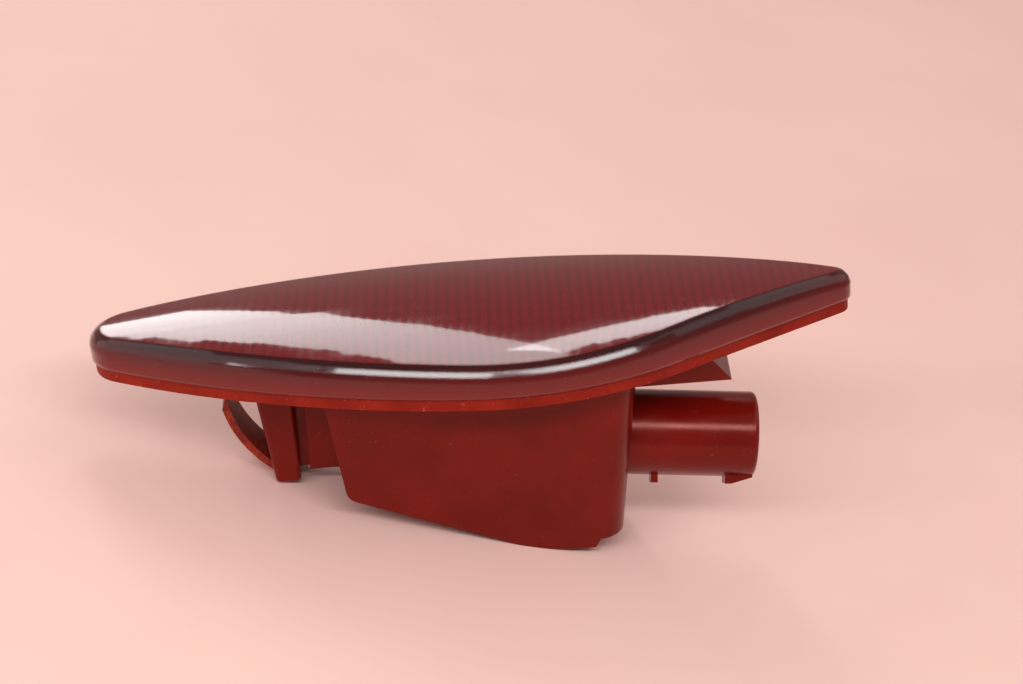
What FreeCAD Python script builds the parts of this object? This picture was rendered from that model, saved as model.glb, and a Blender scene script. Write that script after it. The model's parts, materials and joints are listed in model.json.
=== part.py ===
import FreeCAD
import Part
import Sketcher
import math
import os

# Front indicator lamp, millimetres.
# Origin: on the panel plane, midway between the two tips of the lens.
# +X runs to the connector end, +Z out of the lens, -Y to the bowed edge of the lens.

VEC = FreeCAD.Vector

DIMENSIONS = [
    # Outline of the lens: three round corners joined by two bows and a straight edge.
    ("lens_length", 121.3),
    ("left_tip_radius", 7.0),
    ("right_tip_radius", 2.9),
    ("near_bow", 24.0),
    ("near_vertex_x", 5.65),
    ("near_vertex_radius", 55.0),
    ("near_edge_radius", 160.0),
    ("far_edge_radius", 200.0),
    ("least_tip_radius", 0.3),
    # Crown and wall of the lens.
    ("lens_height", 9.4),
    ("crown_radius_long", 700.0),
    ("crown_radius_cross", 70.0),
    ("crown_line_y", -4.5),
    ("lens_edge_radius", 2.4),
    ("lens_skirt_wall", 2.0),
    ("lens_face_wall", 2.0),
    ("flute_pitch", 1.6),
    ("flute_depth", 0.3),
    # Seal between the lens and the panel.
    ("seal_thickness", 2.3),
    ("seal_inset", 0.5),
    ("seal_width", 3.6),
    ("seal_gap", 0.25),
    # Flange and box of the housing.
    ("flange_thickness", 1.2),
    ("flange_gap", 0.15),
    ("box_left_reach", 23.55),
    ("box_right_reach", 25.65),
    ("box_near_reach", 16.2),
    ("box_far_reach", 6.5),
    ("box_left_draft", 6.0),
    ("box_right_draft", 7.0),
    ("box_side_draft", 2.0),
    ("box_wall", 2.0),
    ("box_shallow_depth", 19.3),
    ("box_deep_depth", 32.3),
    ("box_land_start", 8.65),
    ("box_land_end", 17.2),
    ("box_step", 1.6),
    ("box_corner_radius", 4.0),
    ("box_heel_radius", 2.5),
    ("box_keel_radius", 30.0),
    # Connector shroud and its two contact tabs.
    ("connector_depth", 17.2),
    ("connector_radius", 6.9),
    ("connector_wall", 1.3),
    ("connector_length", 20.7),
    ("connector_bore_depth", 16.5),
    ("mouth_radius", 0.9),
    ("latch_length", 4.4),
    ("latch_height", 1.1),
    ("latch_width", 4.0),
    ("latch_flat", 1.0),
    ("latch_setback", 0.4),
    ("latch_turn", -30.0),
    ("rib_width", 1.1),
    ("rib_height", 1.2),
    ("rib_length", 3.0),
    ("rib_setback", 4.0),
    ("tab_width", 2.8),
    ("tab_thickness", 0.8),
    ("tab_spacing", 5.0),
    ("tab_reach", 9.0),
    ("tab_lap", 6.0),
    ("tab_chamfer", 0.3),
    ("slot_gap", 0.05),
    # Hook tongue over the connector.
    ("tongue_end", 40.5),
    ("tongue_top", 2.2),
    ("tongue_bottom", 6.6),
    ("tongue_nose", 3.4),
    ("tongue_near", 9.0),
    ("tongue_width", 12.0),
    ("tongue_radius", 1.2),
    # Clip leg, its web and the spring.
    ("leg_left", 35.75),
    ("leg_right", 28.85),
    ("leg_depth", 20.7),
    ("leg_foot_left", 33.35),
    ("leg_foot_right", 29.3),
    ("leg_near", 7.0),
    ("leg_width", 11.0),
    ("leg_radius", 0.8),
    ("web_depth", 18.9),
    ("web_near", 6.0),
    ("web_width", 8.0),
    ("web_slot", 1.5),
    ("web_slot_depth", 1.2),
    ("spring_thickness", 1.2),
    ("spring_width", 7.0),
    ("spring_radius", 20.0),
    ("spring_centre_x", 20.35),
    ("spring_centre_z", -3.4),
    ("spring_root_angle", 235.0),
    ("spring_tip_angle", 184.0),
    ("spring_bevel_angle", 6.5),
    # Light board and what it carries.
    ("board_length", 36.0),
    ("board_width", 15.6),
    ("board_thickness", 1.6),
    ("board_gap", 0.6),
    ("post_radius", 2.1),
    ("stake_radius", 0.9),
    ("stake_head_radius", 1.6),
    ("stake_head_height", 0.7),
    ("stake_gap", 0.1),
    ("stake_bite", 0.5),
    ("stake_margin", 0.5),
    ("emitter_length", 3.2),
    ("emitter_width", 2.8),
    ("emitter_height", 1.9),
    ("emitter_cup_radius", 1.2),
    ("emitter_cup_floor", 0.84),
    ("emitter_cup_depth", 0.9),
    ("emitter_pitch", 5.2),
    ("chip_length", 3.2),
    ("chip_width", 1.6),
    ("chip_height", 0.6),
    ("chip_cap", 0.5),
    ("chip_cap_rise", 0.08),
    ("chip_pitch", 6.0),
    ("chip_margin", 0.5),
    ("diode_length", 4.2),
    ("diode_width", 2.6),
    ("diode_height", 1.9),
    ("diode_lead", 0.8),
    ("diode_lead_height", 0.5),
    ("diode_shift", 4.0),
    ("diode_margin", 0.2),
    # Reflector.
    ("reflector_wall", 0.9),
    ("reflector_gap", 0.4),
    ("reflector_lip", 1.4),
    ("reflector_lift", 0.5),
    ("window_margin", 0.6),
    ("window_side_margin", 1.8),
]

EMITTER_COUNT = 4
RESISTOR_COUNT = 2

# Spare length of a cutting tool past the face that it leaves by.
CUT_SPARE = 1.0

doc = FreeCAD.newDocument("front_indicator_lamp")
sheet = doc.addObject("Spreadsheet::Sheet", "dims")
for row, (alias, value) in enumerate(DIMENSIONS, start=1):
    sheet.set("A%d" % row, alias)
    sheet.set("B%d" % row, str(value))
    sheet.setAlias("B%d" % row, alias)
doc.recompute()


class Size:
    """A number together with the sheet expression that yields it."""

    def __init__(self, value, text):
        self.value = value
        self.text = text

    def _join(self, other, sign, value):
        return Size(value, "(%s %s %s)" % (self.text, sign, other.text))

    def __add__(self, other):
        other = size_of(other)
        return self._join(other, "+", self.value + other.value)

    def __sub__(self, other):
        other = size_of(other)
        return self._join(other, "-", self.value - other.value)

    def __mul__(self, other):
        other = size_of(other)
        return self._join(other, "*", self.value * other.value)

    def __truediv__(self, other):
        other = size_of(other)
        return self._join(other, "/", self.value / other.value)

    def __neg__(self):
        return Size(0.0, "0") - self


def size_of(thing):
    if isinstance(thing, Size):
        return thing
    return Size(float(thing), repr(float(thing)))


def dim(alias):
    return Size(float(sheet.get(alias)), "dims." + alias)


def sine(angle):
    return Size(math.sin(math.radians(angle.value)), "sin(%s * 1 deg)" % angle.text)


def cosine(angle):
    return Size(math.cos(math.radians(angle.value)), "cos(%s * 1 deg)" % angle.text)


def larger(first, second):
    return Size(max(first.value, second.value), "max(%s; %s)" % (first.text, second.text))


def tangent(angle):
    return Size(math.tan(math.radians(angle.value)), "tan(%s * 1 deg)" % angle.text)


def bind(obj, prop, size):
    size = size_of(size)
    obj.setExpression(prop, size.text)


def place(obj, point, rotation=None):
    """Put an object at a point of three sizes, turned as asked."""
    base = [size_of(part) for part in point]
    obj.Placement = FreeCAD.Placement(VEC(*[part.value for part in base]), rotation or FreeCAD.Rotation())
    for axis, part in zip("xyz", base):
        bind(obj, "Placement.Base." + axis, part)
    return obj


# Sketch planes: in the panel plane, in the long upright plane, in the cross upright plane.
FLAT = FreeCAD.Rotation()
SIDE = FreeCAD.Rotation(VEC(1, 0, 0), 90)
CROSS = FreeCAD.Rotation(VEC(1, 1, 1), 120)


def hold(sketch, kind, *args):
    """Add a driving constraint whose last argument is a size."""
    size = size_of(args[-1])
    index = sketch.addConstraint(Sketcher.Constraint(kind, *args[:-1], size.value))
    bind(sketch, "Constraints[%d]" % index, size)


def polygon(name, points, origin=(0, 0, 0), rotation=FLAT):
    """A closed sketch of straight edges, every corner tied to the sheet."""
    sketch = doc.addObject("Sketcher::SketchObject", name)
    place(sketch, origin, rotation)
    corners = [(size_of(u), size_of(v)) for u, v in points]
    count = len(corners)
    for i in range(count):
        start = corners[i]
        end = corners[(i + 1) % count]
        line = Part.LineSegment(VEC(start[0].value, start[1].value, 0), VEC(end[0].value, end[1].value, 0))
        sketch.addGeometry(line, False)
    for i in range(count):
        sketch.addConstraint(Sketcher.Constraint("Coincident", i, 2, (i + 1) % count, 1))
    for i, (u, v) in enumerate(corners):
        hold(sketch, "DistanceX", -1, 1, i, 1, u)
        hold(sketch, "DistanceY", -1, 1, i, 1, v)
    return sketch


def extrude(name, sketch, length, direction, back=None):
    solid = doc.addObject("Part::Extrusion", name)
    solid.Base = sketch
    solid.DirMode = "Custom"
    solid.Dir = VEC(*direction)
    solid.Solid = True
    bind(solid, "LengthFwd", length)
    if back is not None:
        bind(solid, "LengthRev", back)
    return solid


def block(name, lengths, point, rotation=None):
    box = doc.addObject("Part::Box", name)
    for prop, length in zip(("Length", "Width", "Height"), lengths):
        bind(box, prop, length)
    return place(box, point, rotation)


def rod(name, radius, height, point, rotation=None):
    cylinder = doc.addObject("Part::Cylinder", name)
    bind(cylinder, "Radius", radius)
    bind(cylinder, "Height", height)
    return place(cylinder, point, rotation)


def common(name, first, second):
    joined = doc.addObject("Part::Common", name)
    joined.Base = first
    joined.Tool = second
    return joined


def cut(name, base, tool):
    joined = doc.addObject("Part::Cut", name)
    joined.Base = base
    joined.Tool = tool
    return joined


def fuse(name, pieces):
    joined = doc.addObject("Part::MultiFuse", name)
    joined.Shapes = pieces
    joined.Refine = True
    return joined


def dress_edges(kind, name, base, size, wanted):
    """Round or chamfer the edges of a finished solid for which wanted(edge) holds."""
    doc.recompute()
    picked = [i for i, edge in enumerate(base.Shape.Edges, start=1) if wanted(edge)]
    dressed = doc.addObject(kind, name)
    dressed.Base = base
    dressed.Edges = [(i, size.value, size.value) for i in picked]
    doc.recompute()
    return dressed


def round_edges(name, base, radius, wanted):
    return dress_edges("Part::Fillet", name, base, radius, wanted)


def chamfer_edges(name, base, leg, wanted):
    return dress_edges("Part::Chamfer", name, base, leg, wanted)


# Outline of the lens.

LEFT_CENTRE = (dim("left_tip_radius") - dim("lens_length") / 2, size_of(0))
RIGHT_CENTRE = (dim("lens_length") / 2 - dim("right_tip_radius"), size_of(0))
VERTEX_CENTRE = (dim("near_vertex_x"), dim("near_vertex_radius") - dim("near_bow"))


def flat_point(pair):
    return VEC(pair[0].value, pair[1].value, 0)


def bow_centre(first, second, first_reach, second_reach):
    """Centre at the given distances from two points, to the right of the way from first to second."""
    way = second - first
    along = (first_reach ** 2 - second_reach ** 2 + way.Length ** 2) / (2 * way.Length)
    aside = math.sqrt(first_reach ** 2 - along ** 2)
    way.normalize()
    return first + way * along + VEC(way.y, -way.x, 0) * aside


def heading(start, end):
    return math.atan2(end.y - start.y, end.x - start.x)


def leaf(name, inset, height):
    """The lens outline, moved inwards by inset, at the given height."""
    inset = size_of(inset)
    radii = {}
    for key in ("left_tip", "right_tip", "near_vertex", "near_edge", "far_edge"):
        radii[key] = larger(dim(key + "_radius") - inset, dim("least_tip_radius"))
    left = flat_point(LEFT_CENTRE)
    right = flat_point(RIGHT_CENTRE)
    vertex = flat_point(VERTEX_CENTRE)
    far = bow_centre(left, right, radii["far_edge"].value - radii["left_tip"].value,
                     radii["far_edge"].value - radii["right_tip"].value)
    near = bow_centre(vertex, left, radii["near_edge"].value - radii["near_vertex"].value,
                      radii["near_edge"].value - radii["left_tip"].value)
    way = right - vertex
    lean = math.acos((radii["near_vertex"].value - radii["right_tip"].value) / way.Length)
    straight = math.atan2(way.y, way.x) - lean
    turns = [
        (right, "right_tip", straight, heading(far, right)),
        (far, "far_edge", heading(far, right), heading(far, left)),
        (left, "left_tip", heading(far, left), heading(near, left)),
        (near, "near_edge", heading(near, left), heading(near, vertex)),
        (vertex, "near_vertex", heading(near, vertex), straight),
    ]
    sketch = doc.addObject("Sketcher::SketchObject", name)
    place(sketch, (0, 0, height), FLAT)
    for centre, key, start, end in turns:
        circle = Part.Circle(centre, VEC(0, 0, 1), radii[key].value)
        while end < start:
            end += 2 * math.pi
        sketch.addGeometry(Part.ArcOfCircle(circle, start, end), False)
    outward = VEC(math.cos(straight), math.sin(straight), 0)
    line = Part.LineSegment(vertex + outward * radii["near_vertex"].value,
                            right + outward * radii["right_tip"].value)
    sketch.addGeometry(line, False)
    for i in range(6):
        sketch.addConstraint(Sketcher.Constraint("Tangent", i, 2, (i + 1) % 6, 1))
    for i, (_, key, _, _) in enumerate(turns):
        hold(sketch, "Radius", i, radii[key])
    for i, centre in ((0, RIGHT_CENTRE), (2, LEFT_CENTRE), (4, VERTEX_CENTRE)):
        hold(sketch, "DistanceX", -1, 1, i, 3, centre[0])
        hold(sketch, "DistanceY", -1, 1, i, 3, centre[1])
    return sketch


seal_top = dim("seal_thickness")
flange_top = seal_top + dim("flange_thickness")
lens_top = dim("lens_height")


# Lens: the outline pulled up to a crowned barrel, hollowed by a fluted core.

crown_axis = (0, dim("crown_line_y"), lens_top - dim("crown_radius_cross"))
barrel_half = dim("lens_length") / 2 + CUT_SPARE


def crown_height(drop, x):
    """Height of the crown line above its own axis, at a station along the lens."""
    reach = dim("crown_radius_long").value - drop
    sag = reach - math.sqrt(reach ** 2 - x ** 2)
    return dim("crown_radius_cross").value - drop - sag


def barrel(name, profile):
    """Turn a crown profile about the long axis under the lens."""
    face = doc.addObject("Part::Feature", name + "_profile")
    face.Shape = Part.Face(Part.Wire(profile))
    place(face, crown_axis, SIDE)
    turned = doc.addObject("Part::Revolution", name)
    turned.Source = face
    turned.Axis = VEC(1, 0, 0)
    turned.Angle = 360
    turned.Solid = True
    for axis, part in zip("xyz", crown_axis):
        bind(turned, "Base." + axis, part)
    return turned


def crown_point(x, drop):
    return VEC(x, crown_height(drop, x), 0)


def close_profile(edges):
    """Close a crown line back along the axis that it turns about."""
    head = edges[0].Vertexes[0].Point
    tail = edges[-1].Vertexes[-1].Point
    corners = [tail, VEC(tail.x, 0, 0), VEC(head.x, 0, 0), head]
    for start, end in zip(corners, corners[1:]):
        edges.append(Part.LineSegment(start, end).toShape())
    return edges


def fluted_line(half_count, pitch, ridge_drop, valley_drop):
    """A zigzag of ridges and valleys along the crown."""
    points = []
    for i in range(-half_count, half_count):
        points.append(crown_point(i * pitch, ridge_drop))
        points.append(crown_point((i + 0.5) * pitch, valley_drop))
    points.append(crown_point(half_count * pitch, ridge_drop))
    return [Part.LineSegment(start, end).toShape() for start, end in zip(points, points[1:])]


crown_line = Part.Arc(*[crown_point(side * barrel_half.value, 0) for side in (-1, 0, 1)])
outer_barrel = barrel("outer_barrel", close_profile([crown_line.toShape()]))
lens_prism = extrude("lens_prism", leaf("lens_outline", 0, seal_top), lens_top, (0, 0, 1))
lens_blank = common("lens_blank", lens_prism, outer_barrel)

# Round edge of the rim: three flats that touch the round, cut in two passes.
FLAT_TURN = math.radians(22.5)
FIRST_LEG = 2 - math.sqrt(2)
SECOND_LEG = (1 / math.cos(FLAT_TURN) - 1) / math.sin(FLAT_TURN)
rim_floor = seal_top.value + 0.5


def on_rim(edge):
    """Edges that run along the rim, not the short joints across it."""
    return min(v.Z for v in edge.Vertexes) > rim_floor and edge.Length > dim("lens_edge_radius").value


lens_chamfered = chamfer_edges("lens_chamfered", lens_blank, dim("lens_edge_radius") * FIRST_LEG, on_rim)
lens_rounded = chamfer_edges("lens_rounded", lens_chamfered, dim("lens_edge_radius") * SECOND_LEG, on_rim)

flute_half_count = math.ceil(dim("lens_length").value / dim("flute_pitch").value / 2)
flute_line = fluted_line(flute_half_count, dim("flute_pitch").value,
                         dim("lens_face_wall").value + dim("flute_depth").value, dim("lens_face_wall").value)
inner_barrel = barrel("inner_barrel", close_profile(flute_line))
core_outline = leaf("core_outline", dim("lens_skirt_wall"), seal_top - CUT_SPARE)
core_prism = extrude("core_prism", core_outline, lens_top, (0, 0, 1))
lens_core = common("lens_core", core_prism, inner_barrel)
outer_lens = cut("outer_lens", lens_rounded, lens_core)


# Box of the housing: a long side profile crossed with a drafted end profile.

left_slope = tangent(dim("box_left_draft"))
right_slope = tangent(dim("box_right_draft"))
side_slope = tangent(dim("box_side_draft"))
shallow = dim("box_shallow_depth")
deep = dim("box_deep_depth")
step_height = deep - dim("box_step")
box_profile = polygon("box_profile", [
    (-(dim("box_left_reach") + flange_top * left_slope), flange_top),
    (-(dim("box_left_reach") - shallow * left_slope), -shallow),
    (dim("box_land_start"), -deep),
    (dim("box_land_end"), -deep),
    (dim("box_land_end") + dim("box_step") / 2, -step_height),
    (dim("box_right_reach") - step_height * right_slope, -step_height),
    (dim("box_right_reach") + flange_top * right_slope, flange_top),
], rotation=SIDE)
through = dim("lens_length")
box_side = extrude("box_side", box_profile, through, (0, 1, 0), through)
box_end_profile = polygon("box_end_profile", [
    (-(dim("box_near_reach") + flange_top * side_slope), flange_top),
    (-(dim("box_near_reach") - deep * side_slope), -deep),
    (dim("box_far_reach") - deep * side_slope, -deep),
    (dim("box_far_reach") + flange_top * side_slope, flange_top),
], rotation=CROSS)
box_end = extrude("box_end", box_end_profile, through, (1, 0, 0), through)
box_crossed = common("box_crossed", box_side, box_end)


def along_y(edge):
    return abs(edge.tangentAt(edge.FirstParameter).y) > 0.99


def is_right_corner(edge):
    """Upright corner edges at the connector end."""
    middle = edge.CenterOfMass
    tall = edge.BoundBox.ZLength > 0.7 * step_height.value
    return tall and middle.x > dim("box_land_end").value


def is_at(x, z):
    return lambda edge: along_y(edge) and math.hypot(edge.CenterOfMass.x - x, edge.CenterOfMass.z - z) < 0.3


box_cornered = round_edges("box_cornered", box_crossed, dim("box_corner_radius"), is_right_corner)
heel_x = shallow.value * left_slope.value - dim("box_left_reach").value
box_heeled = round_edges("box_heeled", box_cornered, dim("box_heel_radius"), is_at(heel_x, -shallow.value))
box_outer = round_edges("box_outer", box_heeled, dim("box_keel_radius"),
                        is_at(dim("box_land_start").value, -deep.value))


# Hollow of the box, a wall thinner all round and open at the top.

wall = dim("box_wall")
hollow_top = flange_top + CUT_SPARE
heel_left = shallow * left_slope - dim("box_left_reach")
floor_slope = (deep - shallow) / (dim("box_land_start") - heel_left)
hollow_heel = heel_left + wall * 1.1
hollow_right = dim("box_right_reach") - wall / cosine(dim("box_right_draft"))
hollow_profile = polygon("hollow_profile", [
    (heel_left + wall / cosine(dim("box_left_draft")) - (shallow + hollow_top) * left_slope, hollow_top),
    (hollow_heel, wall * 1.1 - shallow - floor_slope * (hollow_heel - heel_left)),
    (dim("box_land_start") + wall / 4, wall - deep),
    (dim("box_land_end") - wall / 2, wall - deep),
    (hollow_right - (step_height - wall) * right_slope, wall - step_height),
    (hollow_right + hollow_top * right_slope, hollow_top),
], rotation=SIDE)
hollow_side = extrude("hollow_side", hollow_profile, through, (0, 1, 0), through)
hollow_near = dim("box_near_reach") - wall / cosine(dim("box_side_draft"))
hollow_far = dim("box_far_reach") - wall / cosine(dim("box_side_draft"))
hollow_end_profile = polygon("hollow_end_profile", [
    (-(hollow_near + hollow_top * side_slope), hollow_top),
    (-(hollow_near - deep * side_slope), -deep),
    (hollow_far - deep * side_slope, -deep),
    (hollow_far + hollow_top * side_slope, hollow_top),
], rotation=CROSS)
hollow_end = extrude("hollow_end", hollow_end_profile, through, (1, 0, 0), through)
hollow_crossed = common("hollow_crossed", hollow_side, hollow_end)
box_hollow = round_edges("box_hollow", hollow_crossed, dim("box_corner_radius") - wall, is_right_corner)

flange_inset = dim("lens_skirt_wall") + dim("flange_gap")
flange_outline = leaf("flange_outline", flange_inset, seal_top)
flange_plate = extrude("flange_plate", flange_outline, dim("flange_thickness"), (0, 0, 1))
box_shell = cut("box_shell", fuse("box_and_flange", [flange_plate, box_outer]), box_hollow)


# Connector frame: local x runs out of the shroud, square to the right wall of the box.

wall_turn = FreeCAD.Rotation(VEC(0, 1, 0), dim("box_right_draft").value)
frame_origin = (dim("box_right_reach") - dim("connector_depth") * right_slope,
                (dim("box_far_reach") - dim("box_near_reach")) / 2,
                -dim("connector_depth"))
turn_cos = cosine(dim("box_right_draft"))
turn_sin = sine(dim("box_right_draft"))


def on_frame(x, y, z):
    """A point of the connector frame, as sizes in the lamp frame."""
    x, y, z = size_of(x), size_of(y), size_of(z)
    return (frame_origin[0] + x * turn_cos + z * turn_sin, frame_origin[1] + y,
            frame_origin[2] - x * turn_sin + z * turn_cos)


def frame_block(name, lengths, centre_x, centre_y, low_z):
    """A block in the connector frame, given by its middle in plan and its underside."""
    lengths = [size_of(part) for part in lengths]
    corner = on_frame(size_of(centre_x) - lengths[0] / 2, size_of(centre_y) - lengths[1] / 2, low_z)
    return block(name, lengths, corner, wall_turn)


AXIS_TURN = wall_turn.multiply(FreeCAD.Rotation(VEC(0, 1, 0), 90))
half_wall = wall / 2
shroud_rod = rod("shroud_rod", dim("connector_radius"), dim("connector_length") + half_wall,
                 on_frame(-half_wall, 0, 0), AXIS_TURN)
bore_start = dim("connector_length") - dim("connector_bore_depth")
shroud_bore = rod("shroud_bore", dim("connector_radius") - dim("connector_wall"),
                  dim("connector_bore_depth") + CUT_SPARE, on_frame(bore_start, 0, 0), AXIS_TURN)
shroud_tube = cut("shroud_tube", shroud_rod, shroud_bore)
mouth_x = on_frame(dim("connector_length"), 0, 0)[0].value
shroud = round_edges("shroud", shroud_tube, dim("mouth_radius"),
                     lambda edge: abs(edge.CenterOfMass.x - mouth_x) < 0.05
                     and abs(edge.BoundBox.YLength / 2 - dim("connector_radius").value) < 0.05)

latch_turn = wall_turn.multiply(FreeCAD.Rotation(VEC(1, 0, 0), dim("latch_turn").value))
latch_root = dim("connector_radius") - dim("connector_wall") / 2
latch_end = dim("connector_length") - dim("latch_setback")
latch_profile = polygon("latch_profile", [
    (latch_end - dim("latch_length"), -latch_root),
    (latch_end - dim("latch_length"), -(dim("connector_radius") + dim("latch_height"))),
    (latch_end - dim("latch_length") + dim("latch_flat"), -(dim("connector_radius") + dim("latch_height"))),
    (latch_end, -dim("connector_radius")),
    (latch_end, -latch_root),
], on_frame(0, 0, 0), latch_turn.multiply(SIDE))
latch_side = latch_turn.multVec(VEC(0, 1, 0))
latch = extrude("latch", latch_profile, dim("latch_width") / 2, latch_side, dim("latch_width") / 2)
rib_profile = polygon("rib_profile", [
    (dim("rib_setback"), -latch_root),
    (dim("rib_setback"), -(dim("connector_radius") + dim("rib_height"))),
    (dim("rib_setback") + dim("rib_width"), -(dim("connector_radius") + dim("rib_height"))),
    (dim("rib_setback") + dim("rib_width"), -latch_root),
], on_frame(0, 0, 0), latch_turn.multiply(SIDE))
rib = extrude("rib", rib_profile, dim("rib_length") / 2, latch_side, dim("rib_length") / 2)


# Hook tongue, clip leg and web.

tongue_root = dim("box_right_reach") - dim("box_wall") / 2 - dim("tongue_bottom") * right_slope
tongue_profile = polygon("tongue_profile", [
    (tongue_root, -dim("tongue_top")),
    (tongue_root, -dim("tongue_bottom")),
    (dim("tongue_end"), -dim("tongue_bottom")),
    (dim("tongue_end") - dim("tongue_nose"), -dim("tongue_top")),
], (0, -dim("tongue_near"), 0), SIDE)
tongue_blank = extrude("tongue_blank", tongue_profile, dim("tongue_width"), (0, 1, 0))
nose_x = dim("tongue_end").value - dim("tongue_nose").value
tongue = round_edges("tongue", tongue_blank, dim("tongue_radius"), is_at(nose_x, -dim("tongue_top").value))

leg_bite = seal_top + dim("flange_thickness") / 2
leg_profile = polygon("leg_profile", [
    (-dim("leg_left"), leg_bite),
    (-dim("leg_foot_left"), -dim("leg_depth")),
    (-dim("leg_foot_right"), -dim("leg_depth")),
    (-dim("leg_right"), leg_bite),
], (0, -dim("leg_near"), 0), SIDE)
leg_blank = extrude("leg_blank", leg_profile, dim("leg_width"), (0, 1, 0))
leg_rounded = round_edges("leg_rounded", leg_blank, dim("leg_radius"),
                          lambda edge: edge.CenterOfMass.z < leg_bite.value - 1)
web_bite = dim("web_slot") / 3
web_right = dim("box_left_reach") - dim("web_depth") * left_slope - dim("box_wall") / 2
web_profile = polygon("web_profile", [
    (-(dim("leg_right") + web_bite), leg_bite),
    (-(dim("leg_foot_right") + web_bite), -dim("web_depth")),
    (-web_right, -dim("web_depth")),
    (-(web_right + dim("box_wall") / 2), leg_bite),
], (0, -dim("web_near"), 0), SIDE)
web_plate = extrude("web_plate", web_profile, dim("web_width"), (0, 1, 0))
web_slot_profile = polygon("web_slot_profile", [
    (-(dim("leg_right") + web_bite), leg_bite),
    (-(dim("leg_foot_right") + web_bite), -dim("leg_depth")),
    (dim("web_slot") - dim("leg_foot_right"), -dim("leg_depth")),
    (dim("web_slot") - dim("leg_right"), leg_bite),
], (0, -(dim("web_near") + CUT_SPARE), 0), SIDE)
web_slot = extrude("web_slot_tool", web_slot_profile, dim("web_slot_depth") + CUT_SPARE, (0, 1, 0))
web = cut("web", web_plate, web_slot)


# Spring: a bent leaf, its root held in a slot of the clip leg.

spring_y = dim("leg_width") / 2 - dim("leg_near")


def leaf_spring(name, grow):
    """The bent leaf grown all round by a gap, so the same form also cuts its slot."""
    grow = size_of(grow)
    half = dim("spring_thickness") / 2 + grow
    inner = dim("spring_radius") - half
    outer = dim("spring_radius") + half
    root = dim("spring_root_angle")
    tip = dim("spring_tip_angle")
    bevel = dim("spring_bevel_angle")

    def at(radius, angle):
        return (radius * cosine(angle), radius * sine(angle))

    sketch = doc.addObject("Sketcher::SketchObject", name + "_profile")
    place(sketch, (-dim("spring_centre_x"), spring_y, dim("spring_centre_z")), SIDE)
    spans = ((inner, tip, root), (outer, tip + bevel, root))
    for radius, start, end in spans:
        circle = Part.Circle(VEC(0, 0, 0), VEC(0, 0, 1), radius.value)
        arc = Part.ArcOfCircle(circle, math.radians(start.value), math.radians(end.value))
        sketch.addGeometry(arc, False)
    ends = [(at(inner, root), at(outer, root)), (at(outer, tip + bevel), at(inner, tip))]
    for first, last in ends:
        line = Part.LineSegment(flat_point(first), flat_point(last))
        sketch.addGeometry(line, False)
    for first, second in (((0, 2), (2, 1)), ((2, 2), (1, 2)), ((1, 1), (3, 1)), ((3, 2), (0, 1))):
        sketch.addConstraint(Sketcher.Constraint("Coincident", *first, *second))
    for i, (radius, start, _) in enumerate(spans):
        sketch.addConstraint(Sketcher.Constraint("Coincident", i, 3, -1, 1))
        hold(sketch, "Radius", i, radius)
        hold(sketch, "DistanceY", -1, 1, i, 1, at(radius, start)[1])
        hold(sketch, "DistanceX", -1, 1, i, 2, at(radius, root)[0])
    half_width = dim("spring_width") / 2 + grow
    return extrude(name, sketch, half_width, (0, 1, 0), half_width)


retaining_spring = leaf_spring("retaining_spring", 0)
spring_slot = leaf_spring("spring_slot", dim("slot_gap"))


# Board seat: posts up from the floor, stakes through the board.

tab_half = dim("tab_thickness") / 2
board_top = -tab_half
board_low = board_top - dim("board_thickness")
board_right = -(dim("box_wall") + dim("board_gap"))
board_left = board_right - dim("board_length")
board_mid = (board_left + board_right) / 2
stake_edge = dim("stake_head_radius") + dim("stake_margin")
stake_side = dim("board_width") / 2 - stake_edge
stake_spots = [(board_left + stake_edge, size_of(0)),
               (board_right - stake_edge, stake_side),
               (board_right - stake_edge, -stake_side)]
posts = []
stakes = []
board_holes = []
for number, (spot_x, spot_y) in enumerate(stake_spots, start=1):
    post_drop = dim("box_deep_depth")
    post = rod("post_%d" % number, dim("post_radius"), post_drop,
               on_frame(spot_x, spot_y, board_low - post_drop), wall_turn)
    posts.append(common("post_trimmed_%d" % number, post, box_outer))
    pin_height = dim("board_thickness") + dim("stake_bite") * 1.2
    pin = rod("stake_pin_%d" % number, dim("stake_radius"), pin_height,
              on_frame(spot_x, spot_y, board_low - dim("stake_bite")), wall_turn)
    head = rod("stake_head_%d" % number, dim("stake_head_radius"), dim("stake_head_height"),
               on_frame(spot_x, spot_y, board_top), wall_turn)
    stakes.extend([pin, head])
    hole_depth = dim("board_thickness") + CUT_SPARE * 2
    board_holes.append(rod("board_hole_%d" % number, dim("stake_radius") + dim("stake_gap"), hole_depth,
                           on_frame(spot_x, spot_y, board_low - CUT_SPARE), wall_turn))


def join_holes(name, tools):
    joined = doc.addObject("Part::MultiFuse", name)
    joined.Shapes = tools
    return joined


board_blank = frame_block("board_blank", (dim("board_length"), dim("board_width"), dim("board_thickness")),
                          board_mid, 0, board_low)
light_board = cut("light_board", board_blank, join_holes("board_holes", board_holes))


# Contact tabs lie flat on the board and pass through the back of the shroud.

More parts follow.
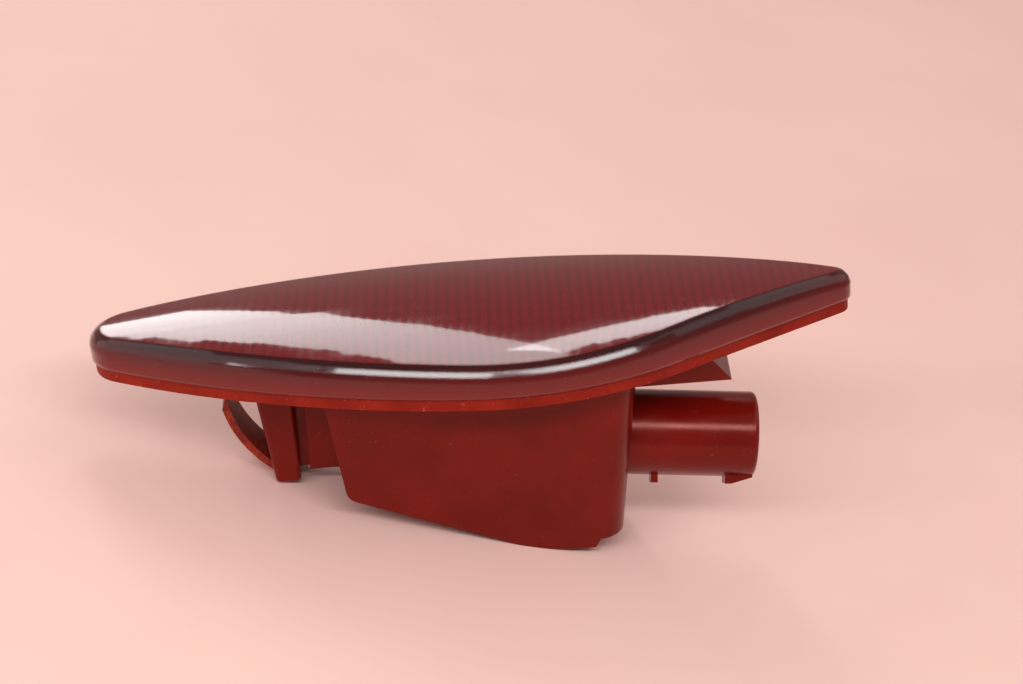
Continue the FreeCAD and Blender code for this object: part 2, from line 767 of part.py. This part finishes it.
tab_start = board_right - dim("tab_lap")
tab_end = bore_start + dim("tab_reach")
tabs = []
slots = []
for label, side in (("contact_tab_near", -0.5), ("contact_tab_far", 0.5)):
    tab_y = dim("tab_spacing") * side
    tab_blank = frame_block(label + "_blank", (tab_end - tab_start, dim("tab_width"), dim("tab_thickness")),
                            (tab_start + tab_end) / 2, tab_y, -tab_half)
    tip_x = on_frame(tab_end, 0, 0)[0].value
    tabs.append(chamfer_edges(label, tab_blank, dim("tab_chamfer"),
                              lambda edge: abs(edge.CenterOfMass.x - tip_x) < 0.2 and along_y(edge)))
    slot_lengths = (bore_start + dim("box_wall") + CUT_SPARE * 2, dim("tab_width") + dim("slot_gap") * 2,
                    dim("tab_thickness") + dim("slot_gap") * 2)
    slots.append(frame_block(label + "_slot", slot_lengths, (bore_start - dim("box_wall")) / 2, tab_y,
                             -(tab_half + dim("slot_gap"))))


# The housing is one moulding.

housing_solid = fuse("housing_solid", [box_shell, shroud, latch, rib, tongue, leg_rounded, web]
                     + posts + stakes)
housing = cut("housing", housing_solid, join_holes("housing_cuts", slots + [spring_slot]))


# Seal: a ring under the rim of the lens, trimmed clear of the box.

seal_outline = leaf("seal_outline", dim("seal_inset"), 0)
seal_block = extrude("seal_block", seal_outline, dim("seal_thickness"), (0, 0, 1))
seal_inner = leaf("seal_inner", dim("seal_inset") + dim("seal_width"), -CUT_SPARE)
seal_hole = extrude("seal_hole", seal_inner, dim("seal_thickness") + CUT_SPARE * 2, (0, 0, 1))
seal_ring = cut("seal_ring", seal_block, seal_hole)
seal_reach_near = dim("box_near_reach") + seal_top * side_slope + dim("seal_gap")
seal_reach_far = dim("box_far_reach") + seal_top * side_slope + dim("seal_gap")
seal_reach_left = dim("box_left_reach") + seal_top * left_slope + dim("seal_gap")
seal_reach_right = dim("box_right_reach") + seal_top * right_slope + dim("seal_gap")
seal_notch = block("seal_notch", (seal_reach_left + seal_reach_right, seal_reach_near + seal_reach_far,
                                  dim("seal_thickness") + CUT_SPARE * 2),
                   (-seal_reach_left, -seal_reach_near, -CUT_SPARE))
panel_seal = cut("panel_seal", seal_ring, seal_notch)


# Reflector: a tapering well from the rim of the box down to the board.

well_top = flange_top + dim("reflector_wall")
opening_left = dim("box_left_reach") - wall
opening_right = dim("box_right_reach") - wall
opening_near = dim("box_near_reach") - wall
opening_far = dim("box_far_reach") - wall
window_length = dim("emitter_pitch") * (EMITTER_COUNT - 1) + dim("emitter_length") + dim("window_margin") * 2
free_left = board_left + stake_edge + dim("stake_head_radius")
window_mid = (free_left + tab_start) / 2
window_left = window_mid - window_length / 2
window_right = window_mid + window_length / 2
window_half = dim("emitter_width") / 2 + dim("window_side_margin")
window_low = board_top + dim("reflector_lift")


def well(name, inset, spare):
    """A tapering well: a long profile crossed with an end profile, both moved inwards by inset."""
    inset = size_of(inset)
    top_inset = dim("reflector_gap") + inset
    grow = dim("reflector_wall") - inset
    low_left = on_frame(window_left - grow, 0, window_low - spare)
    low_right = on_frame(window_right + grow, 0, window_low - spare)
    long_sides = (top_inset - opening_left, opening_right - top_inset)
    end_sides = (top_inset - opening_near, opening_far - top_inset)
    long_points = [(long_sides[0], well_top), (low_left[0], low_left[2]), (low_right[0], low_right[2]),
                   (long_sides[1], well_top)]
    end_points = [(end_sides[0], well_top), (frame_origin[1] - window_half - grow, low_right[2]),
                  (frame_origin[1] + window_half + grow, low_right[2]), (end_sides[1], well_top)]
    if spare:
        long_points += [(long_sides[1], well_top + spare), (long_sides[0], well_top + spare)]
        end_points += [(end_sides[1], well_top + spare), (end_sides[0], well_top + spare)]
    long_profile = polygon(name + "_long", long_points, rotation=SIDE)
    end_profile = polygon(name + "_end", end_points, rotation=CROSS)
    return common(name, extrude(name + "_along", long_profile, through, (0, 1, 0), through),
                  extrude(name + "_across", end_profile, through, (1, 0, 0), through))


lip = dim("reflector_lip")
lip_plate = block("lip_plate", (opening_left + opening_right + lip * 2, opening_near + opening_far + lip * 2,
                                dim("reflector_wall")),
                  (-(opening_left + lip), -(opening_near + lip), flange_top))
reflector_blank = fuse("reflector_blank", [well("well_outer", 0, 0), lip_plate])
reflector = cut("reflector", reflector_blank, well("well_inner", dim("reflector_wall"), CUT_SPARE / 2))


# Parts on the board.

emitters = []
for number in range(1, EMITTER_COUNT + 1):
    emitter_x = window_mid + dim("emitter_pitch") * (number - (EMITTER_COUNT + 1) / 2)
    body = frame_block("emitter_body_%d" % number,
                       (dim("emitter_length"), dim("emitter_width"), dim("emitter_height")),
                       emitter_x, 0, board_top)
    cup = doc.addObject("Part::Cone", "emitter_cup_%d" % number)
    bind(cup, "Radius1", dim("emitter_cup_floor"))
    bind(cup, "Radius2", dim("emitter_cup_radius"))
    bind(cup, "Height", dim("emitter_cup_depth"))
    cup_low = board_top + dim("emitter_height") - dim("emitter_cup_depth")
    place(cup, on_frame(emitter_x, 0, cup_low), wall_turn)
    emitters.append(cut("light_emitter_%d" % number, body, cup))

side_row = dim("board_width") / 2 - dim("chip_width") / 2 - dim("chip_margin")


def chip(name, centre_x, centre_y):
    """A chip part: a body between two slightly taller end caps."""
    body = frame_block(name + "_body", (dim("chip_length"), dim("chip_width"), dim("chip_height")),
                       centre_x, centre_y, board_top)
    pieces = [body]
    cap_lengths = (dim("chip_cap"), dim("chip_width"), dim("chip_height") + dim("chip_cap_rise"))
    for mark, side in (("left", -0.5), ("right", 0.5)):
        cap_x = size_of(centre_x) + (dim("chip_length") - dim("chip_cap")) * side
        pieces.append(frame_block(name + "_cap_" + mark, cap_lengths, cap_x, centre_y, board_top))
    return fuse(name, pieces)


resistors = []
for number in range(1, RESISTOR_COUNT + 1):
    resistor_x = window_mid + dim("chip_pitch") * (number - (RESISTOR_COUNT + 1) / 2)
    resistors.append(chip("resistor_%d" % number, resistor_x, side_row))
capacitor = chip("capacitor", window_mid - dim("diode_shift"), -side_row)
diode_x = window_mid + dim("diode_shift")
diode_y = -(dim("board_width") - dim("diode_width")) / 2 + dim("diode_margin")
diode_lift = dim("diode_lead_height") / 2
diode_lengths = (dim("diode_length"), dim("diode_width"), dim("diode_height") - diode_lift)
diode_body = frame_block("diode_body", diode_lengths, diode_x, diode_y, board_top + diode_lift)
lead_lengths = (dim("diode_length") + dim("diode_lead") * 2, dim("diode_width") / 2, dim("diode_lead_height"))
diode_leads = frame_block("diode_leads", lead_lengths, diode_x, diode_y, board_top)
diode = fuse("diode", [diode_body, diode_leads])


# Finish: check every object, then write one file a node.

NODES = [outer_lens, panel_seal, housing, reflector, light_board, retaining_spring, capacitor, diode]
NODES += tabs + emitters + resistors

doc.recompute()
for obj in doc.Objects:
    if "Invalid" in obj.State or "Error" in obj.State:
        raise RuntimeError("object in error: " + obj.Name)
os.makedirs("parts", exist_ok=True)
for node in NODES:
    node.Label = node.Name
    shape = node.Shape
    if shape.isNull() or not shape.isValid():
        raise RuntimeError("bad shape: " + node.Label)
    if len(shape.Solids) != 1:
        raise RuntimeError("%s has %d solids" % (node.Label, len(shape.Solids)))
    shape.exportStep("parts/%s.step" % node.Label)
    print(node.Label, round(shape.Volume, 2), shape.BoundBox)
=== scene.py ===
import bpy
import json
import math
from mathutils import Matrix, Vector

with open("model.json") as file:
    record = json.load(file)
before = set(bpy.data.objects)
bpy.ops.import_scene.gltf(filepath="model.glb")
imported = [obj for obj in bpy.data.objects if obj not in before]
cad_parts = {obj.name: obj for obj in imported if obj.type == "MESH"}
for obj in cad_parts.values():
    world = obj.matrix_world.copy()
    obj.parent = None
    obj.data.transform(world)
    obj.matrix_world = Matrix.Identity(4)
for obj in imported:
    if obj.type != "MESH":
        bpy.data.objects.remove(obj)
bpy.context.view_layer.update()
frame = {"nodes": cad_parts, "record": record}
scene = bpy.context.scene
scene.view_settings.view_transform = "Standard"


# Camera: the lens plane seen 30 degrees from above, a little rolled.

ELEVATION, YAW, ROLL = (math.radians(angle) for angle in (30.0, 0.5, 4.8))
FOCAL_PX, PX_PER_M = 2842.0, 6300.0
SENSOR_WIDTH, NEAR_CLIP = 36.0, 0.01
IMAGE = (1023, 684)
# AIM is the point of the lens plane that falls on the pixel AIM_PX.
AIM_PX = (470.0, 345.0)
AIM = Vector((-0.00035, -0.003, 0.0))


def add_camera():
    level = math.cos(ELEVATION)
    back = Vector((math.sin(YAW) * level, -math.cos(YAW) * level, math.sin(ELEVATION)))
    right = Vector((math.cos(YAW), math.sin(YAW), 0.0))
    up = back.cross(right)
    across = right * math.cos(ROLL) - up * math.sin(ROLL)
    above = right * math.sin(ROLL) + up * math.cos(ROLL)
    distance = FOCAL_PX / PX_PER_M
    shift_x = (AIM_PX[0] - IMAGE[0] / 2) / PX_PER_M
    shift_y = (IMAGE[1] / 2 - AIM_PX[1]) / PX_PER_M
    data = bpy.data.cameras.new("camera")
    data.sensor_width = SENSOR_WIDTH
    data.lens = FOCAL_PX * data.sensor_width / IMAGE[0]
    data.clip_start = NEAR_CLIP
    camera = bpy.data.objects.new("camera", data)
    scene.collection.objects.link(camera)
    spot = AIM - across * shift_x - above * shift_y + back * distance
    camera.matrix_world = Matrix((across, above, back)).transposed().to_4x4()
    camera.matrix_world.translation = spot
    scene.camera = camera


# Materials. Lengths are in metres, as in the frame.

FLUTE_PITCH = 0.0016
# Heights between which painted shade darkens the skirt of the lens.
SKIRT_SHADE_LOW, SKIRT_SHADE_HIGH = 0.0025, 0.0080
# Radii of the soft edges of the lens and of the moulding.
RIM_BLEND, EDGE_BLEND = 0.0008, 0.0003
# Bounds for the painted shade of rim and skirt: the upward part of the normal is at most about the first
# on rim and skirt, and at least about the second on the crown.
RIM_BELOW, CROWN_ABOVE = 0.9, 0.98
# Length of one band of the wave texture at scale 1.
WAVE_LENGTH = 2 * math.pi / 20
# Sockets of the mix node that carry colours.
MIX_FIRST, MIX_SECOND, MIX_RESULT = 6, 7, 2


def srgb(red, green, blue):
    """A colour written as it looks on screen, 0 to 255, as linear values."""
    def linear(part):
        part /= 255
        return part / 12.92 if part <= 0.04045 else ((part + 0.055) / 1.055) ** 2.4
    return (linear(red), linear(green), linear(blue), 1.0)


class Finish:
    """A node material with a few shorthands, all in object space, in metres."""

    def __init__(self, name, **sockets):
        self.material = bpy.data.materials.new(name)
        self.material.use_nodes = True
        self.tree = self.material.node_tree
        self.shader = self.tree.nodes["Principled BSDF"]
        for key, value in sockets.items():
            self.shader.inputs[key.replace("_", " ")].default_value = value
        self.where = self.tree.nodes.new("ShaderNodeTexCoord").outputs["Object"]

    def node(self, kind, **settings):
        made = self.tree.nodes.new(kind)
        for key, value in settings.items():
            setattr(made, key, value)
        return made

    def link(self, source, target):
        self.tree.links.new(source, target)

    def stretched(self, x, y, z):
        mapping = self.node("ShaderNodeMapping")
        mapping.inputs["Scale"].default_value = (x, y, z)
        self.link(self.where, mapping.inputs["Vector"])
        return mapping.outputs["Vector"]

    def noise(self, scale, detail=3.0, rough=0.55, where=None):
        texture = self.node("ShaderNodeTexNoise")
        texture.inputs["Scale"].default_value = scale
        texture.inputs["Detail"].default_value = detail
        texture.inputs["Roughness"].default_value = rough
        self.link(where or self.where, texture.inputs["Vector"])
        return texture.outputs["Fac"]

    def ramp(self, source, stops):
        ramp = self.node("ShaderNodeValToRGB")
        elements = ramp.color_ramp.elements
        while len(elements) < len(stops):
            elements.new(0.5)
        for element, (spot, colour) in zip(elements, stops):
            element.position = spot
            element.color = colour
        self.link(source, ramp.inputs["Fac"])
        return ramp.outputs["Color"]

    def levels(self, source, low, high, out_low, out_high):
        mapped = self.node("ShaderNodeMapRange")
        for key, value in zip(("From Min", "From Max", "To Min", "To Max"), (low, high, out_low, out_high)):
            mapped.inputs[key].default_value = value
        self.link(source, mapped.inputs["Value"])
        return mapped.outputs["Result"]

    def mix(self, factor, first, second):
        mix = self.node("ShaderNodeMix", data_type="RGBA")
        self.link(factor, mix.inputs["Factor"])
        for key, value in ((MIX_FIRST, first), (MIX_SECOND, second)):
            if isinstance(value, tuple):
                mix.inputs[key].default_value = value
            else:
                self.link(value, mix.inputs[key])
        return mix.outputs[MIX_RESULT]

    def bump(self, height, distance, strength=1.0, base=None):
        bump = self.node("ShaderNodeBump")
        bump.inputs["Distance"].default_value = distance
        bump.inputs["Strength"].default_value = strength
        self.link(height, bump.inputs["Height"])
        if base is not None:
            self.link(base, bump.inputs["Normal"])
        return bump.outputs["Normal"]

    def upward(self):
        """1 on the crown, 0 on the rim and the skirt."""
        parts = self.node("ShaderNodeSeparateXYZ")
        self.link(self.node("ShaderNodeTexCoord").outputs["Normal"], parts.inputs["Vector"])
        return self.levels(parts.outputs["Z"], RIM_BELOW, CROWN_ABOVE, 0.0, 1.0)

    def height(self, low, high):
        """0 at the low height, 1 at the high one."""
        parts = self.node("ShaderNodeSeparateXYZ")
        self.link(self.where, parts.inputs["Vector"])
        return self.levels(parts.outputs["Z"], low, high, 0.0, 1.0)

    def times(self, first, second):
        product = self.node("ShaderNodeMath", operation="MULTIPLY")
        self.link(first, product.inputs[0])
        self.link(second, product.inputs[1])
        return product.outputs["Value"]

    def soft_edges(self, radius):
        bevel = self.node("ShaderNodeBevel", samples=6)
        bevel.inputs["Radius"].default_value = radius
        return bevel.outputs["Normal"]

    def set(self, key, source):
        self.link(source, self.shader.inputs[key])


def moulded_plastic():
    # Painted red reflection: the reddish specular tint stands in for red surroundings reflected in black
    # plastic.
    finish = Finish("black_moulding", IOR=1.5, Specular_IOR_Level=0.5, Specular_Tint=srgb(255, 176, 166))
    cloud = finish.noise(90, 4)
    # The maroon of this tone ramp is painted red bounce light on black plastic; the cloud varies the tone at
    # random.
    colour = finish.ramp(cloud, [(0.3, srgb(94, 11, 6)), (0.7, srgb(112, 15, 9))])
    dust = finish.levels(finish.noise(2600, 1), 0.74, 0.8, 0.0, 0.35)
    finish.set("Base Color", finish.mix(dust, colour, srgb(150, 96, 84)))
    finish.set("Roughness", finish.levels(finish.noise(240, 5), 0.3, 0.7, 0.17, 0.26))
    streaks = finish.noise(1.0, 2, where=finish.stretched(1500, 1500, 60))
    worn = finish.bump(streaks, 0.00002, 0.3, finish.soft_edges(EDGE_BLEND))
    finish.set("Normal", finish.bump(finish.noise(5200, 2), 0.00003, 0.45, worn))
    return finish.material


def smoked_lens():
    finish = Finish("smoked_lens", IOR=1.5, Transmission_Weight=0.2, Coat_Weight=1.0, Coat_Roughness=0.03,
                    Coat_IOR=1.4, Specular_IOR_Level=0.1)
    # Painted shade of the inner flutes: stripes along X vary the crown's colour; the same stripes also bump
    # the surface.
    stripes = finish.node("ShaderNodeTexWave", wave_type="BANDS", bands_direction="X", wave_profile="SIN")
    stripes.inputs["Scale"].default_value = WAVE_LENGTH / FLUTE_PITCH
    stripes.inputs["Distortion"].default_value = 0.0
    finish.link(finish.where, stripes.inputs["Vector"])
    top = finish.upward()
    flute_relief_and_shade = finish.times(stripes.outputs["Fac"], top)
    # The crown's dark wine is a painted red cast on a smoked lens.
    crown = finish.ramp(flute_relief_and_shade, [(0.1, srgb(103, 8, 15)), (0.8, srgb(113, 11, 19))])
    # Painted reflection and painted shade on the skirt: red at the bottom, near black towards the top.
    skirt = finish.ramp(finish.height(SKIRT_SHADE_LOW, SKIRT_SHADE_HIGH), [
        (0.0, srgb(126, 14, 12)), (0.45, srgb(100, 9, 11)), (0.85, srgb(48, 4, 7))])
    # Rim and skirt take their painted shade, the crown its colour, split by the upward part of the normal.
    colour = finish.mix(top, skirt, crown)
    dust = finish.levels(finish.noise(1900, 1), 0.76, 0.82, 0.0, 0.3)
    finish.set("Base Color", finish.mix(dust, colour, srgb(170, 120, 112)))
    haze = finish.noise(1.0, 4, where=finish.stretched(90, 420, 420))
    finish.set("Roughness", finish.levels(haze, 0.35, 0.7, 0.05, 0.13))
    rim = finish.soft_edges(RIM_BLEND)
    finish.set("Normal", finish.bump(flute_relief_and_shade, 0.00002, 0.12, rim))
    finish.set("Coat Normal", rim)
    return finish.material


def seal_rubber():
    # Painted red reflection: the reddish specular tint stands in for red surroundings reflected in the
    # rubber.
    finish = Finish("seal_rubber", IOR=1.5, Specular_IOR_Level=0.3, Specular_Tint=srgb(255, 160, 148))
    cloud = finish.noise(160, 4)
    # The saturated red of this tone ramp is painted red bounce light on a darker rubber; the cloud varies
    # the tone at random.
    colour = finish.ramp(cloud, [(0.3, srgb(118, 24, 14)), (0.7, srgb(142, 34, 20))])
    dust = finish.levels(finish.noise(2100, 1), 0.7, 0.76, 0.0, 0.5)
    finish.set("Base Color", finish.mix(dust, colour, srgb(188, 112, 92)))
    finish.set("Roughness", finish.levels(finish.noise(700, 3), 0.3, 0.7, 0.42, 0.62))
    finish.set("Normal", finish.bump(finish.noise(3600, 3), 0.00004, 0.5))
    return finish.material


def spring_steel():
    finish = Finish("spring_steel", Metallic=0.3)
    blotch = finish.noise(1300, 5, 0.7)
    finish.set("Base Color", finish.ramp(blotch, [
        (0.32, srgb(92, 17, 8)), (0.52, srgb(144, 33, 13)), (0.7, srgb(190, 82, 36))]))
    finish.set("Roughness", finish.levels(blotch, 0.3, 0.7, 0.4, 0.75))
    finish.set("Normal", finish.bump(finish.noise(2600, 4), 0.00008, 0.8))
    return finish.material


def mirror_coat():
    finish = Finish("mirror_coat", Metallic=1.0, Base_Color=srgb(214, 214, 216))
    finish.set("Roughness", finish.levels(finish.noise(300, 4), 0.3, 0.7, 0.08, 0.2))
    finish.set("Normal", finish.bump(finish.noise(900, 2), 0.00002, 0.3))
    return finish.material


def light_board():
    finish = Finish("board", IOR=1.5)
    tracks = finish.node("ShaderNodeTexBrick", offset=0.5)
    for key, value in (("Scale", 260.0), ("Mortar Size", 0.03), ("Brick Width", 0.9), ("Row Height", 0.35)):
        tracks.inputs[key].default_value = value
    tracks.inputs["Color1"].default_value = srgb(22, 84, 48)
    tracks.inputs["Color2"].default_value = srgb(26, 96, 54)
    tracks.inputs["Mortar"].default_value = srgb(58, 132, 76)
    finish.link(finish.where, tracks.inputs["Vector"])
    finish.set("Base Color", tracks.outputs["Color"])
    finish.set("Roughness", finish.levels(finish.noise(500, 3), 0.3, 0.7, 0.3, 0.45))
    return finish.material


def emitter():
    finish = Finish("emitter", IOR=1.5, Coat_Weight=0.6)
    cloud = finish.noise(900, 3)
    finish.set("Base Color", finish.ramp(cloud, [(0.3, srgb(226, 160, 62)), (0.7, srgb(240, 196, 104))]))
    finish.set("Roughness", finish.levels(finish.noise(1500, 2), 0.3, 0.7, 0.25, 0.4))
    return finish.material


def contact_metal():
    finish = Finish("contact_metal", Metallic=1.0)
    brushed = finish.noise(1.0, 3, where=finish.stretched(300, 9000, 9000))
    finish.set("Base Color", finish.ramp(brushed, [(0.3, srgb(176, 160, 120)), (0.7, srgb(214, 202, 168))]))
    finish.set("Roughness", finish.levels(brushed, 0.3, 0.7, 0.22, 0.4))
    finish.set("Normal", finish.bump(brushed, 0.00001, 0.4))
    return finish.material


def chip_body():
    finish = Finish("chip_body", IOR=1.5)
    cloud = finish.noise(1200, 3)
    finish.set("Base Color", finish.ramp(cloud, [(0.35, srgb(28, 28, 30)), (0.7, srgb(54, 54, 57))]))
    finish.set("Roughness", finish.levels(finish.noise(2000, 2), 0.3, 0.7, 0.35, 0.55))
    return finish.material


FINISHES = {
    "smoked_lens": smoked_lens(), "black_moulding": moulded_plastic(), "seal_rubber": seal_rubber(),
    "spring_steel": spring_steel(), "mirror_coat": mirror_coat(), "board": light_board(),
    "emitter": emitter(), "contact_metal": contact_metal(), "chip_body": chip_body(),
}
for part in frame["record"]["subparts"]:
    node = frame["nodes"][part["node"]]
    for slot in node.material_slots:
        slot.material = FINISHES[part["material_slot"]]


# Stage: a pale floor through the foot of the leg and the keel of the box, soft lamps, pale surroundings.

FOOT, KEEL = Vector((-0.03276, 0, -0.02069)), Vector((0.00713, 0, -0.03131))
FLOOR_HALF = 3.0
WORLD_COLOUR, WORLD_STRENGTH = (240, 214, 206), 0.42
LAMP_TARGET = Vector((0, 0, 0))
# Name, place, size across and up, watts, turn in degrees. The back strips show as the pale band on the lens.
LAMPS = [
    ("back_strip_left", (-0.088, 0.491, 0.437), (0.085, 0.58), 0.80, 17),
    ("back_strip_right", (0.088, 0.437, 0.490), (0.04, 0.24), 0.22, -25),
    ("front_strip", (0.02, -0.45, 0.47), (1.2, 0.08), 4.0, 0),
    ("side_left", (-0.75, -0.10, 0.60), (1.2, 1.0), 3.2, 0),
    ("side_right", (0.85, 0.05, 0.65), (1.0, 1.0), 2.2, 0),
]


def add_floor():
    mesh = bpy.data.meshes.new("floor")
    corners = [(x * FLOOR_HALF, y * FLOOR_HALF, 0) for x, y in ((-1, -1), (1, -1), (1, 1), (-1, 1))]
    mesh.from_pydata(corners, [], [(0, 1, 2, 3)])
    floor = bpy.data.objects.new("floor", mesh)
    floor.location = KEEL
    floor.rotation_euler = (0, math.atan2(FOOT.z - KEEL.z, KEEL.x - FOOT.x), 0)
    finish = Finish("floor", Roughness=0.6)
    cloud = finish.noise(14, 4)
    finish.set("Base Color", finish.ramp(cloud, [(0.3, srgb(236, 196, 186)), (0.7, srgb(240, 202, 192))]))
    mesh.materials.append(finish.material)
    scene.collection.objects.link(floor)


def add_lamp(name, spot, size, watts, turn):
    data = bpy.data.lights.new(name, "AREA")
    data.shape = "RECTANGLE"
    data.size, data.size_y = size
    data.energy = watts
    lamp = bpy.data.objects.new(name, data)
    aim = (LAMP_TARGET - Vector(spot)).to_track_quat("-Z", "Y").to_matrix()
    lamp.matrix_world = (aim @ Matrix.Rotation(math.radians(turn), 3, "Z")).to_4x4()
    lamp.location = spot
    lamp.visible_camera = False
    scene.collection.objects.link(lamp)


def add_world():
    world = bpy.data.worlds.new("world")
    scene.world = world
    world.use_nodes = True
    background = world.node_tree.nodes["Background"]
    background.inputs["Color"].default_value = srgb(*WORLD_COLOUR)
    background.inputs["Strength"].default_value = WORLD_STRENGTH


add_camera()
add_floor()
add_world()
for lamp in LAMPS:
    add_lamp(*lamp)
